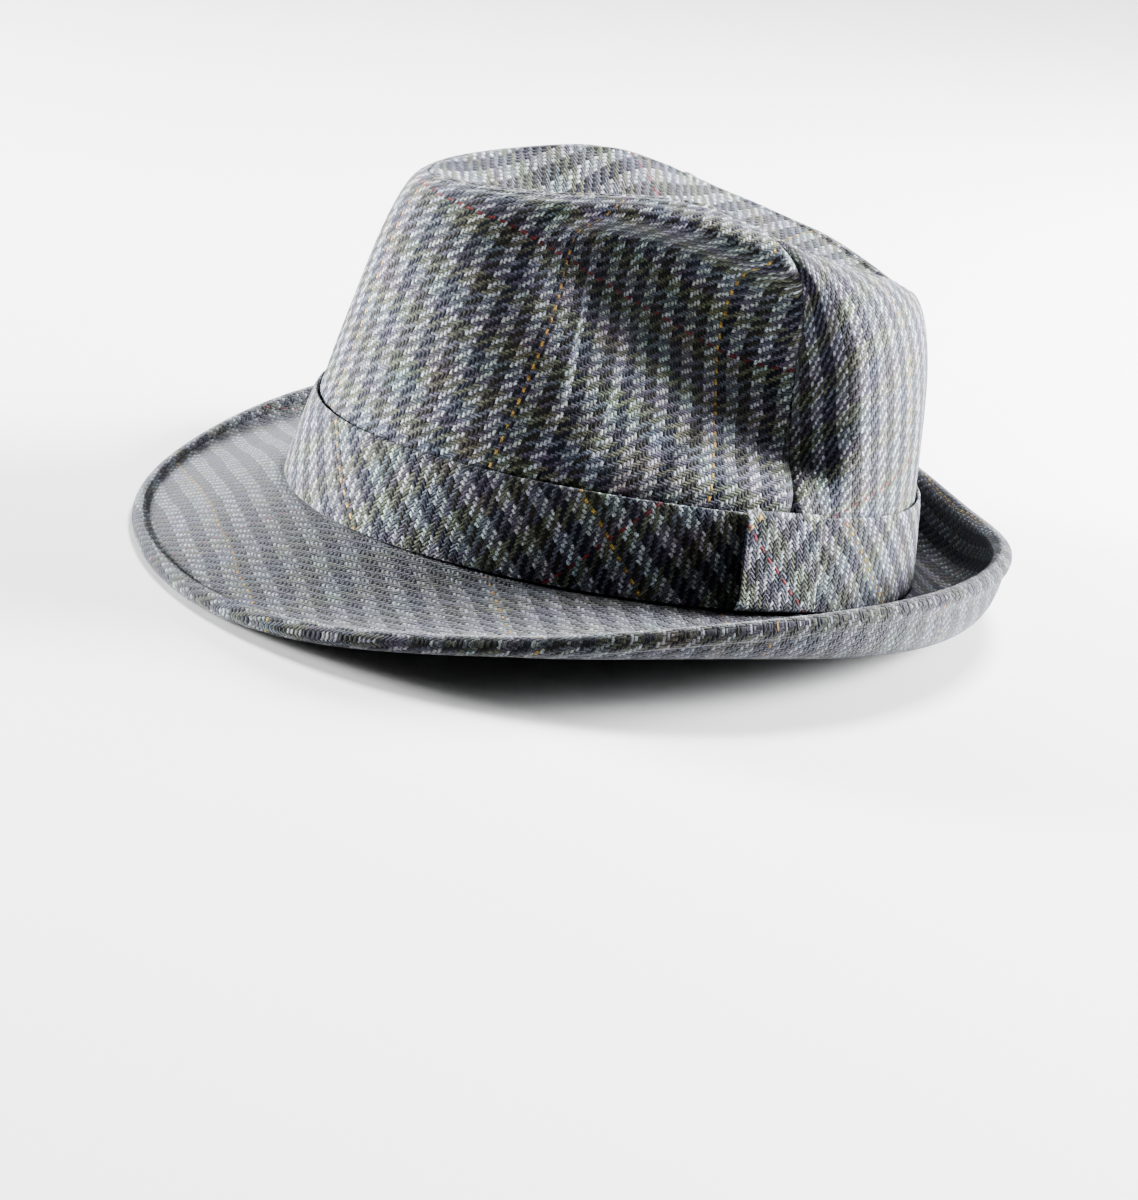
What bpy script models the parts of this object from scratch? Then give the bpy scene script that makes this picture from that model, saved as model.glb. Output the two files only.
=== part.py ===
"""Tweed trilby hat: a dented crown of three cloth panels, a band with a folded tab, and a turned up brim.

Metres, +Z up. The front of the hat looks to -Y and the wearer's left is +X. The hat rests on Z = 0, with the
middle of its box over the origin. Angles run round the hat from the front (0) over the wearer's left (90) to
the back (180).
"""

from collections import namedtuple
import math

import bmesh
import bpy
import numpy as np

# Crown
CROWN_HALF_WIDTH = 0.0860
CROWN_HALF_LENGTH = 0.1015
CROWN_HEIGHT = 0.1105
CROWN_EGG = 0.035
FOOT_ARCH = 0.0046
CROWN_TAPER_DEG = 11.0
TAPER_REACH = 0.50
SIDE_SEAM_DEG = 102.0
SIDE_SEAM_SLANT_DEG = 7.0
SIDE_SEAM_BEND = 0.35
CLOTH = 0.0020
SEAM_GAP = 0.0004
SHOULDER_SHARE = 0.30
SEAT_GAP = 0.0003

# Dents
CENTRE_DENT_DEPTH = 0.0240
CENTRE_DENT_LENGTH = 0.42
CENTRE_DENT_FLOOR = 0.95
SIDE_DENT_DEPTH = 0.0280
DENT_FADE = 0.0090
DENT_SIDE_START = 0.0130
DENT_SIDE_FULL = 0.0470
DENT_ABOVE_BAND = 0.0140

# Band and tab
BAND_HEIGHT = 0.0280
BAND_CLOTH = 0.0018
TAB_LENGTH = 0.0290
TAB_START_DEG = 95.0
TAB_FOLD = 0.0042
TAB_CLOTH = 0.0020
TAB_OVERLAP = 0.0010
TAB_FOLD_LENGTH = 0.0044
TAB_FOLD_FLOOR = 0.20
TAB_SEAT = 0.0006

# Brim
BRIM_REACH = 0.0420
BRIM_DROP = 0.0230
BRIM_CLOTH = 0.0030
EDGE_ROLL = 0.0060
ROLL_TURN_DEG = 125.0
FLANGE_HEIGHT = 0.0100
FLANGE_CLOTH = 0.0015
FLATTENED = 0.0007

# Facets
COLUMNS = 64
WALL_ROWS = 14
TIP_ROWS = 7
BRIM_ROWS = 9
ROLL_STEPS = 6
BAND_ROWS = 3
TAB_COLUMNS = 8
FLANGE_ROWS = 2
GROOVE_STEPS = 61
LEVEL_STEPS = 101
TIP_CROWDING = 1.1
TAB_CROWDING = 1.5
TIP_LINE = 0.03
SHARP_DEG = 40.0
STEP = 1e-4

# The ridge where the wall meets the tip. Reach is a share of the crown's foot, height one of CROWN_HEIGHT, and
# shoulder one of the way from the foot in to the ridge.
Ridge = namedtuple("Ridge", "angle reach height shoulder")
RIDGES = (
    Ridge(0, 0.765, 0.920, 0.50),
    Ridge(30, 0.615, 0.955, 0.48),
    Ridge(60, 0.460, 0.998, 0.32),
    Ridge(90, 0.430, 0.995, 0.40),
    Ridge(120, 0.560, 0.930, 0.68),
    Ridge(150, 0.700, 0.865, 0.70),
    Ridge(180, 0.780, 0.805, 0.62),
)

# The side dent is a slanting groove from high in front to low at the side seam. Along is a share of
# CROWN_HALF_LENGTH, height one of CROWN_HEIGHT, and the slopes before and behind it are shares of CROWN_HEIGHT.
Groove = namedtuple("Groove", "along height depth before behind")
GROOVE = (
    Groove(-0.52, 0.91, 0.20, 0.20, 0.11),
    Groove(-0.33, 0.89, 0.62, 0.26, 0.14),
    Groove(-0.12, 0.82, 0.95, 0.30, 0.16),
    Groove(0.06, 0.71, 1.00, 0.31, 0.16),
    Groove(0.18, 0.60, 0.92, 0.28, 0.14),
    Groove(0.27, 0.47, 0.65, 0.20, 0.11),
    Groove(0.32, 0.36, 0.28, 0.14, 0.09),
)

# The brim's section is a curve from the band to the rim. Reach and the bends' reach are shares of BRIM_REACH,
# rise and the bends' drop are shares of BRIM_DROP.
Section = namedtuple("Section", "angle reach rise bend_in drop_in bend_out drop_out")
BRIM_SECTIONS = (
    Section(0, 0.94, -0.88, 0.33, 0.24, 0.68, 0.66),
    Section(30, 0.99, -0.76, 0.33, 0.22, 0.72, 0.72),
    Section(60, 0.97, -0.20, 0.33, 0.22, 0.84, 0.53),
    Section(90, 0.86, 0.42, 0.30, 0.12, 0.82, 0.22),
    Section(120, 0.71, 0.76, 0.25, 0.14, 0.72, 0.26),
    Section(150, 0.58, 0.87, 0.22, 0.18, 0.62, 0.28),
    Section(180, 0.50, 0.71, 0.20, 0.20, 0.54, 0.30),
)

Finish = namedtuple("Finish", "colour roughness")
TWEED = Finish((0.16, 0.17, 0.19, 1.0), 0.95)
TWEED_TIP = Finish((0.17, 0.18, 0.19, 1.0), 0.95)
TWEED_BAND = Finish((0.14, 0.15, 0.18, 1.0), 0.95)


def around(rows, column, angles):
    """A column of a table read at any angles, smoothly, the same on both sides of the hat."""
    values = [getattr(row, column) for row in rows]
    step = rows[1].angle - rows[0].angle
    place = np.abs((np.degrees(angles) + 180.0) % 360.0 - 180.0) / step
    first = np.minimum(place.astype(int), len(values) - 2)
    mirrored = np.array([values[1]] + values + [values[-2]])
    before, here, after, beyond = (mirrored[first + k] for k in range(4))
    t = place - first
    bend = (after - before) * t + (2 * before - 5 * here + 4 * after - beyond) * t**2
    return here + 0.5 * (bend + (3 * here - before - 3 * after + beyond) * t**3)


def foot(angles):
    """The oval at the foot of the crown's outer face, a little higher at the sides."""
    along = -CROWN_HALF_LENGTH * np.cos(angles)
    egg = 1.0 + CROWN_EGG * along / CROWN_HALF_LENGTH
    across = CROWN_HALF_WIDTH * np.sin(angles) * egg
    return np.stack([across, along, FOOT_ARCH * np.sin(angles) ** 2], axis=-1)


def outward(angles):
    """Level directions that leave the foot oval squarely."""
    way = foot(angles + STEP) - foot(angles - STEP)
    square = np.stack([way[..., 1], -way[..., 0], 0.0 * way[..., 2]], axis=-1)
    return square / np.linalg.norm(square, axis=-1, keepdims=True)


def smooth(value, low, high):
    """A soft step from 0 at low to 1 at high."""
    t = np.clip((value - low) / (high - low), 0.0, 1.0)
    return t * t * (3.0 - 2.0 * t)


def side_dent(points, ridge_height):
    """How far the side dents push each point of the wall in. They fade out close under the ridge."""
    along = np.array([row.along for row in GROOVE]) * CROWN_HALF_LENGTH
    height = np.array([row.height for row in GROOVE]) * CROWN_HEIGHT
    fine = np.linspace(0.0, len(GROOVE) - 1.0, GROOVE_STEPS)
    knots = np.arange(len(GROOVE))
    route = np.stack([np.interp(fine, knots, along), np.interp(fine, knots, height)], axis=-1)
    gap = points[..., None, 1:] - route
    nearest = np.argmin(np.sum(gap**2, axis=-1), axis=-1)
    place = fine[nearest]
    off = np.take_along_axis(gap, nearest[..., None, None], axis=-2)[..., 0, :]
    behind = off[..., 0] + off[..., 1] > 0.0
    widths = [
        np.interp(place, knots, [getattr(row, name) for row in GROOVE]) * CROWN_HEIGHT
        for name in ("before", "behind")
    ]
    width = np.where(behind, widths[1], widths[0])
    depth = np.interp(place, knots, [row.depth for row in GROOVE]) * SIDE_DENT_DEPTH
    side = smooth(np.abs(points[..., 0]), DENT_SIDE_START, DENT_SIDE_FULL)
    band_top = BAND_HEIGHT + FOOT_ARCH
    above_band = smooth(points[..., 2], band_top, band_top + DENT_ABOVE_BAND)
    under_ridge = smooth(ridge_height - points[..., 2], CLOTH, CLOTH + DENT_FADE)
    return depth * side * above_band * under_ridge * np.exp(-np.sum(off**2, axis=-1) / width**2)


def wall(angles, level):
    """The outer face of the crown's wall: level 0 is its foot and 1 the ridge."""
    base = foot(angles)
    share = around(RIDGES, "reach", angles)[..., None]
    height = CROWN_HEIGHT * around(RIDGES, "height", angles)[..., None]
    up = np.array([0.0, 0.0, 1.0])
    level_base = base * (1.0 - up)
    ridge = level_base * share + up * height
    lean = math.tan(math.radians(CROWN_TAPER_DEG))
    rise = TAPER_REACH * (height - base[..., 2:])
    low_bend = base + up * rise - outward(angles) * lean * rise
    shoulder = around(RIDGES, "shoulder", angles)[..., None]
    high_bend = ridge + level_base * (1.0 - share) * shoulder
    t = level[..., None]
    low = (1 - t) ** 3 * base + 3 * (1 - t) ** 2 * t * low_bend
    curve = low + 3 * (1 - t) * t**2 * high_bend + t**3 * ridge
    push = side_dent(curve, height[..., 0]) * np.sign(curve[..., 0])
    return curve - np.stack([push, 0 * push, 0 * push], axis=-1)


def tip(angles, level):
    """The outer face of the tip: level 1 is the ridge and 2 the bottom of the centre dent."""
    ridge = wall(angles, np.ones_like(angles))
    q = np.clip(2.0 - level, 0.0, 1.0)
    across = ridge[..., 0] * q
    along = ridge[..., 1] * (CENTRE_DENT_LENGTH + (1.0 - CENTRE_DENT_LENGTH) * q)
    floor = CROWN_HEIGHT - CENTRE_DENT_DEPTH
    down = smooth(1.0 - q, 0.0, CENTRE_DENT_FLOOR)
    return np.stack([across, along, ridge[..., 2] + (floor - ridge[..., 2]) * down], axis=-1)


def crown(angles, level):
    """The outer face of the whole crown."""
    on_wall = wall(angles, np.clip(level, 0.0, 1.0))
    on_tip = tip(angles, np.clip(level, 1.0, 2.0))
    return np.where(level[..., None] <= 1.0, on_wall, on_tip)


def crown_shell(angles, level, off):
    """The crown's outer face moved out by off, or in where off is below 0."""
    turn = crown(angles + STEP, level) - crown(angles - STEP, level)
    climb = crown(angles, level + STEP) - crown(angles, level - STEP)
    square = np.cross(turn, climb)
    square = square / np.linalg.norm(square, axis=-1, keepdims=True)
    return crown(angles, level) + square * np.asarray(off)[..., None]


def level_of(angles, height):
    """The level of the wall that lies at a height over its foot."""
    steps = np.linspace(0.0, 1.0, LEVEL_STEPS)
    grid = wall(angles[:, None], np.broadcast_to(steps, (len(angles), len(steps))))
    return np.array([np.interp(height, column[:, 2] - column[0, 2], steps) for column in grid])


def brim_section(angle):
    """The closed outline of the brim at one angle, with the flange that stands inside the crown."""
    at = np.array([angle])
    share = {name: around(BRIM_SECTIONS, name, at)[0] for name in Section._fields[1:]}
    start = np.array([SEAT_GAP + BAND_CLOTH + SEAT_GAP, -SEAT_GAP - 0.5 * BRIM_CLOTH])
    bend_in = np.array([BRIM_REACH * share["bend_in"], -BRIM_DROP * share["drop_in"]])
    bend_out = np.array([BRIM_REACH * share["bend_out"], -BRIM_DROP * share["drop_out"]])
    rim = np.array([BRIM_REACH * share["reach"], BRIM_DROP * share["rise"]])
    t = np.linspace(0.0, 1.0, BRIM_ROWS + 1)[:, None]
    curve = start + 3 * (1 - t) ** 2 * t * bend_in + 3 * (1 - t) * t**2 * bend_out + t**3 * rim
    way = np.gradient(curve, axis=0)
    way = way / np.linalg.norm(way, axis=1, keepdims=True)
    up = np.stack([-way[:, 1], way[:, 0]], axis=1)
    up[0] = (0.0, 1.0)
    top = curve + 0.5 * BRIM_CLOTH * up
    under = curve - 0.5 * BRIM_CLOTH * up
    heading = math.atan2(way[-1, 1], way[-1, 0])
    roll_turn = math.radians(ROLL_TURN_DEG)
    turns = heading + np.linspace(roll_turn, -roll_turn, ROLL_STEPS + 1)
    roll = curve[-1] + 0.5 * EDGE_ROLL * np.stack([np.cos(turns), np.sin(turns)], axis=1)
    return np.vstack([top[:-1], roll, under[-2::-1]])


def brim_loop(angle):
    """The brim's outline at one angle, placed on the hat."""
    at = np.array([angle])
    section = brim_section(angle)
    out = outward(at)[0]
    base = foot(at)[0]
    body = base + section[:, :1] * out + section[:, 1:] * np.array([0.0, 0.0, 1.0])
    lean = level_of(at, FLANGE_HEIGHT)[0]
    levels = np.linspace(0.0, lean, FLANGE_ROWS + 1)
    same = np.full(len(levels), angle)
    inside = crown_shell(same, levels, -np.full(len(levels), CLOTH + SEAT_GAP + FLANGE_CLOTH))
    beside = crown_shell(same, levels, -np.full(len(levels), CLOTH + SEAT_GAP))
    seat = beside[0] - np.array([0.0, 0.0, SEAT_GAP])
    sole = inside[0] - np.array([0.0, 0.0, SEAT_GAP + BRIM_CLOTH])
    return np.vstack([[sole], inside, beside[:0:-1], [seat], body])


def resting():
    """The turn and the shift that lay the brim's front edge and its back on the floor."""
    front = brim_loop(0.0)
    back = brim_loop(math.pi)
    low_front = front[np.argmin(front[:, 2])]
    low_back = back[np.argmin(back[:, 2])]
    pitch = -math.atan2(low_back[2] - low_front[2], low_back[1] - low_front[1])
    turn = np.array([
        [1.0, 0.0, 0.0],
        [0.0, math.cos(pitch), -math.sin(pitch)],
        [0.0, math.sin(pitch), math.cos(pitch)],
    ])
    loops = np.array([brim_loop(angle) for angle in columns()]) @ turn.T
    low, high = loops.min(axis=(0, 1)), loops.max(axis=(0, 1))
    shift = np.array([0.0, -0.5 * (low[1] + high[1]), -low[2] - FLATTENED])
    return turn, shift


def columns():
    """The angles of the facets all round the hat."""
    return np.linspace(0.0, 2.0 * math.pi, COLUMNS, endpoint=False)


def laid(points):
    """Points of the hat as it rests, with the cloth flattened where it meets the floor."""
    turn, shift = REST
    placed = points @ turn.T + shift
    placed[..., 2] = np.maximum(placed[..., 2], 0.0)
    return placed


def add_piece(name, points, faces, finish):
    """One closed piece, with its own material."""
    mesh = bpy.data.meshes.new(name)
    mesh.from_pydata([tuple(point) for point in laid(points)], [], faces)
    shape = bmesh.new()
    shape.from_mesh(mesh)
    bmesh.ops.recalc_face_normals(shape, faces=shape.faces)
    shape.to_mesh(mesh)
    shape.free()
    mesh.shade_smooth()
    mesh.set_sharp_from_angle(angle=math.radians(SHARP_DEG))
    material = bpy.data.materials.new(name + "_cloth")
    material.use_nodes = True
    shader = material.node_tree.nodes["Principled BSDF"]
    shader.inputs["Base Color"].default_value = finish.colour
    shader.inputs["Roughness"].default_value = finish.roughness
    shader.inputs["Metallic"].default_value = 0.0
    mesh.materials.append(material)
    piece = bpy.data.objects.new(name, mesh)
    bpy.context.scene.collection.objects.link(piece)


def grid_faces(rows, count, closed, start=0):
    """Quads between the rows of a grid of points, one row after another."""
    last = count if closed else count - 1
    faces = []
    for i in range(rows - 1):
        here = start + i * count
        above = here + count
        faces += [(here + j, here + (j + 1) % count, above + (j + 1) % count, above + j) for j in range(last)]
    return faces


def add_wall(name, outer, inner, closed, finish):
    """A cloth wall between an outer and an inner grid of points."""
    rows, count = outer.shape[:2]
    size = rows * count
    faces = grid_faces(rows, count, closed) + grid_faces(rows, count, closed, size)
    edge = [(i, i + 1) for i in range(count - 1)] + ([(count - 1, 0)] if closed else [])
    for first in (0, size - count):
        faces += [(first + a, first + b, size + first + b, size + first + a) for a, b in edge]
    if not closed:
        for side in (0, count - 1):
            line = [side + r * count for r in range(rows)]
            faces += [(a, b, size + b, size + a) for a, b in zip(line, line[1:])]
    add_piece(name, np.vstack([outer.reshape(-1, 3), inner.reshape(-1, 3)]), faces, finish)


def side_seam(levels):
    """The angle of the left side seam at each level of the wall."""
    return np.radians(SIDE_SEAM_DEG + SIDE_SEAM_SLANT_DEG * smooth(levels, 0.0, SIDE_SEAM_BEND))


def add_crown_panel(name, middle, half_span, count):
    """A panel of the crown's wall, from one side seam to the other."""
    levels = np.linspace(0.0, 1.0, WALL_ROWS + 1)
    levels[-1] = 1.0 - 0.5 * SEAM_GAP / (SHOULDER_SHARE * CROWN_HEIGHT)
    gap = 0.5 * SEAM_GAP / (CROWN_HALF_WIDTH * min(row.reach for row in RIDGES))
    span = (half_span(levels) - gap)[:, None]
    grid = middle + span * np.linspace(-1.0, 1.0, count + 1)
    height = np.broadcast_to(levels[:, None], grid.shape)
    outer = crown_shell(grid, height, np.zeros_like(grid))
    inner = crown_shell(grid, height, np.full_like(grid, -CLOTH))
    add_wall(name, outer, inner, False, TWEED)


def add_crown_wall():
    """The front panel, round the front and both sides, and the back panel."""
    front = 2 * round(COLUMNS * SIDE_SEAM_DEG / 360.0)
    add_crown_panel("crown_front", 0.0, side_seam, front)
    add_crown_panel("crown_back", math.pi, lambda levels: math.pi - side_seam(levels), COLUMNS - front)


def add_crown_tip():
    """The oval top panel with the centre dent."""
    angles = columns()
    levels = 1.0 + np.linspace(0.0, 1.0, TIP_ROWS + 1) ** TIP_CROWDING
    levels[0] = 1.0 + 0.5 * SEAM_GAP / (CROWN_HALF_WIDTH * min(row.reach for row in RIDGES))
    levels[-1] = 2.0 - TIP_LINE
    grid, height = np.meshgrid(angles, levels)
    outer = crown_shell(grid, height, np.zeros_like(grid))
    inner = crown_shell(grid, height, np.full_like(grid, -CLOTH))
    rows, count = grid.shape
    size = rows * count
    faces = grid_faces(rows, count, True) + grid_faces(rows, count, True, size)
    faces += [(i, (i + 1) % count, size + (i + 1) % count, size + i) for i in range(count)]
    half = count // 2
    for first in (size - count, 2 * size - count):
        last = first + count
        faces.append((first, first + 1, last - 1))
        faces += [(first + i, first + i + 1, last - i - 1, last - i) for i in range(1, half - 1)]
        faces.append((first + half - 1, first + half, first + half + 1))
    add_piece("crown_tip", np.vstack([outer.reshape(-1, 3), inner.reshape(-1, 3)]), faces, TWEED_TIP)


def add_band():
    """The band round the foot of the crown."""
    angles = columns()
    top = level_of(angles, BAND_HEIGHT)
    height = np.linspace(0.0, 1.0, BAND_ROWS + 1)[:, None] * top
    grid = np.broadcast_to(angles, height.shape)
    inner = crown_shell(grid, height, np.full_like(grid, SEAT_GAP))
    outer = crown_shell(grid, height, np.full_like(grid, SEAT_GAP + BAND_CLOTH))
    add_wall("hat_band", outer, inner, True, TWEED_BAND)


def add_tab():
    """The folded tab on the wearer's left, thickest at the fold that faces the front."""
    start = math.radians(TAB_START_DEG)
    end = start + TAB_LENGTH / CROWN_HALF_LENGTH
    share = np.linspace(0.0, 1.0, TAB_COLUMNS + 1) ** TAB_CROWDING
    angles = start + (end - start) * share
    top = level_of(angles, BAND_HEIGHT + TAB_OVERLAP)
    height = np.linspace(TAB_SEAT / BAND_HEIGHT, 1.0, BAND_ROWS + 1)[:, None] * top
    grid = np.broadcast_to(angles, height.shape)
    under = SEAT_GAP + BAND_CLOTH + SEAT_GAP
    inner = crown_shell(grid, height, np.full_like(grid, under))
    within = np.clip(share * TAB_LENGTH / TAB_FOLD_LENGTH, 0.0, 1.0)
    fold = np.sqrt(np.clip(1.0 - (1.0 - within) ** 2, TAB_FOLD_FLOOR, 1.0))
    proud = (TAB_CLOTH + (TAB_FOLD - TAB_CLOTH) * (1.0 - share) ** 2) * fold
    outer = crown_shell(grid, height, under + np.broadcast_to(proud, grid.shape))
    add_wall("band_tab", outer, inner, False, TWEED_BAND)


def add_brim():
    """The brim, with its rolled edge and its flange, as one closed ring."""
    loops = np.array([brim_loop(angle) for angle in columns()])
    count, ring = loops.shape[:2]
    size = count * ring
    faces = [tuple(i % size for i in face) for face in grid_faces(count + 1, ring, True)]
    add_piece("brim", loops.reshape(-1, 3), faces, TWEED)


REST = resting()

for old in list(bpy.data.objects):
    bpy.data.objects.remove(old, do_unlink=True)
add_crown_wall()
add_crown_tip()
add_band()
add_tab()
add_brim()
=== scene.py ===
"""Looks of the tweed trilby: woven wool panels, a band with its tab, a rolled brim, and a plain studio.

Metres, +Z up, the front of the hat looks to -Y and the wearer's left is +X. Angles run round the hat from
the front (0) over the wearer's left (90) to the back (180). Levels climb the crown: 0 is its foot, 1 the
seam between the wall and the tip, and 2 the bottom of the centre dent.
"""

import logging
import math
from dataclasses import dataclass
from enum import Enum
from typing import Callable, NamedTuple, Sequence

import bpy
import numpy as np
from mathutils import Matrix, Vector

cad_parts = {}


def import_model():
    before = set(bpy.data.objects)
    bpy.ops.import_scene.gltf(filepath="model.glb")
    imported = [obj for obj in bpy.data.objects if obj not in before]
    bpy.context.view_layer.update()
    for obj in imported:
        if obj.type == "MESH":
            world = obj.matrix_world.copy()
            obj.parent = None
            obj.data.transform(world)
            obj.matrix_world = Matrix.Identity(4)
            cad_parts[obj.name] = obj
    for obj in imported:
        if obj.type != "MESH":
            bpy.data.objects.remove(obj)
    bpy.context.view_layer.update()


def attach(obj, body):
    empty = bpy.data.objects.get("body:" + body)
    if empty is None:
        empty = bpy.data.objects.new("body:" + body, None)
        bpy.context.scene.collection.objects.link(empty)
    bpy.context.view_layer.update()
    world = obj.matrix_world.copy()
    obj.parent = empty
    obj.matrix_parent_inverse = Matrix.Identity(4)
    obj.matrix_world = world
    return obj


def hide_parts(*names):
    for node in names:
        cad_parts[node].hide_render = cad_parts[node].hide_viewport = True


LOG = logging.getLogger("hat")
STEP = 1e-4
TINY = 1e-12
WELD = 1e-6
WHITE = (1.0, 1.0, 1.0, 1.0)
GREY = (0.5, 0.5, 0.5, 1.0)
FULL_TURN = 2.0 * math.pi
UP = np.array([0.0, 0.0, 1.0])


class Slot(Enum):
    """The record's material slots."""

    TWEED = "tweed"
    BIAS = "tweed_bias"


class Ridge(NamedTuple):
    """The seam between wall and tip at one angle, as shares of the crown's foot and height."""

    angle: float
    reach: float
    height: float
    shoulder: float


class Groove(NamedTuple):
    """One place on the side dent's bottom, as shares of the crown's half length, height and dent depth."""

    along: float
    height: float
    depth: float
    before: float
    behind: float


class Section(NamedTuple):
    """The brim's section at one angle, as shares of its reach and drop."""

    angle: float
    reach: float
    rise: float
    bend_in: float
    drop_in: float
    bend_out: float
    drop_out: float


class Wave(NamedTuple):
    """One slow wave of soft cloth, by its turns round the hat and up it."""

    size: float
    around: float
    up: float
    phase: float


class Ripple(NamedTuple):
    """A raised or sunk line that runs along a seam or a fold."""

    height: float
    from_seam: float
    width: float

    def at(self, distance: np.ndarray) -> np.ndarray:
        """Its height at a distance from the seam."""
        return self.height * bump(distance - self.from_seam, self.width)


RIDGES = (
    Ridge(0, 0.765, 0.920, 0.50),
    Ridge(30, 0.615, 0.955, 0.48),
    Ridge(60, 0.460, 0.998, 0.32),
    Ridge(90, 0.430, 0.995, 0.40),
    Ridge(120, 0.560, 0.930, 0.68),
    Ridge(150, 0.700, 0.865, 0.70),
    Ridge(180, 0.780, 0.805, 0.62),
)

GROOVES = (
    Groove(-0.52, 0.91, 0.20, 0.20, 0.11),
    Groove(-0.33, 0.89, 0.62, 0.26, 0.14),
    Groove(-0.12, 0.82, 0.95, 0.30, 0.16),
    Groove(0.06, 0.71, 1.00, 0.31, 0.16),
    Groove(0.18, 0.60, 0.92, 0.28, 0.14),
    Groove(0.27, 0.47, 0.65, 0.20, 0.11),
    Groove(0.32, 0.36, 0.28, 0.14, 0.09),
)

SECTIONS = (
    Section(0, 0.94, -0.88, 0.33, 0.24, 0.68, 0.66),
    Section(30, 0.99, -0.76, 0.33, 0.22, 0.72, 0.72),
    Section(60, 0.97, -0.20, 0.33, 0.22, 0.84, 0.53),
    Section(90, 0.86, 0.42, 0.30, 0.12, 0.82, 0.22),
    Section(120, 0.71, 0.76, 0.25, 0.14, 0.72, 0.26),
    Section(150, 0.58, 0.87, 0.22, 0.18, 0.62, 0.28),
    Section(180, 0.50, 0.71, 0.20, 0.20, 0.54, 0.30),
)

WAVES = (
    Wave(1.0, 5.0, 60.0, 1.0),
    Wave(0.6, 9.0, -85.0, 2.1),
    Wave(0.35, 17.0, 130.0, 0.7),
)


def around(rows: Sequence[NamedTuple], column: str, angles: np.ndarray) -> np.ndarray:
    """A column of a table read at any angles, smoothly, the same on both sides of the hat.

    Args:
        rows: The table, in even steps from the front to the back.
        column: The column's name.
        angles: Angles round the hat.

    Returns:
        The column's value at each angle.
    """
    values = [getattr(row, column) for row in rows]
    step = rows[1].angle - rows[0].angle
    place = np.abs((np.degrees(angles) + 180.0) % 360.0 - 180.0) / step
    first = np.minimum(place.astype(int), len(values) - 2)
    mirrored = np.array([values[1]] + values + [values[-2]])
    before, here, after, beyond = (mirrored[first + k] for k in range(4))
    t = place - first
    bend = (after - before) * t + (2 * before - 5 * here + 4 * after - beyond) * t**2
    return here + 0.5 * (bend + (3 * here - before - 3 * after + beyond) * t**3)


def smooth(value: np.ndarray, low: float, high: float) -> np.ndarray:
    """A soft step from 0 at low to 1 at high."""
    t = np.clip((value - low) / (high - low), 0.0, 1.0)
    return t * t * (3.0 - 2.0 * t)


def bump(distance: np.ndarray, width: float) -> np.ndarray:
    """A bell of height 1 that fades over a width."""
    return np.exp(-((distance / width) ** 2))


def waves(angles: np.ndarray, height: np.ndarray, size: float, turn: float) -> np.ndarray:
    """Slow unevenness of soft cloth.

    Args:
        angles: Angles round the hat.
        height: Places up the hat, or along it, in metres.
        size: The height of the largest wave.
        turn: Where the waves start, so that no two pieces are alike.

    Returns:
        How far the cloth stands out at each place.
    """
    return size * sum(
        wave.size * np.sin(wave.around * angles + wave.up * height + wave.phase * turn) for wave in WAVES
    )


def folded(turn: np.ndarray, power: float) -> np.ndarray:
    """The outline of a flat fold, from 1 on its outer face to -1 on its inner face."""
    return np.abs(np.sin(turn)) ** power * np.where(np.sin(turn) >= 0.0, 1.0, -1.0)


def turned(across: np.ndarray, along: np.ndarray, degrees: float) -> np.ndarray:
    """Places in the flat cloth, with its threads turned.

    Args:
        across: Places across the piece, in metres.
        along: Places along the piece, in metres.
        degrees: How far the threads are turned.

    Returns:
        The places along the weft and along the warp.
    """
    turn = math.radians(degrees)
    weft = across * math.cos(turn) + along * math.sin(turn)
    warp = -across * math.sin(turn) + along * math.cos(turn)
    return np.stack([weft, warp], axis=-1)


def run_length(points: np.ndarray, axis: int) -> np.ndarray:
    """Lengths along a grid of points.

    Args:
        points: The grid.
        axis: 1 along its rows, 0 along its columns.

    Returns:
        The length from the first point to each point.
    """
    steps = np.linalg.norm(np.diff(points, axis=axis), axis=-1)
    start = np.zeros_like(np.take(steps, [0], axis=axis))
    return np.concatenate([start, np.cumsum(steps, axis=axis)], axis=axis)


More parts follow.
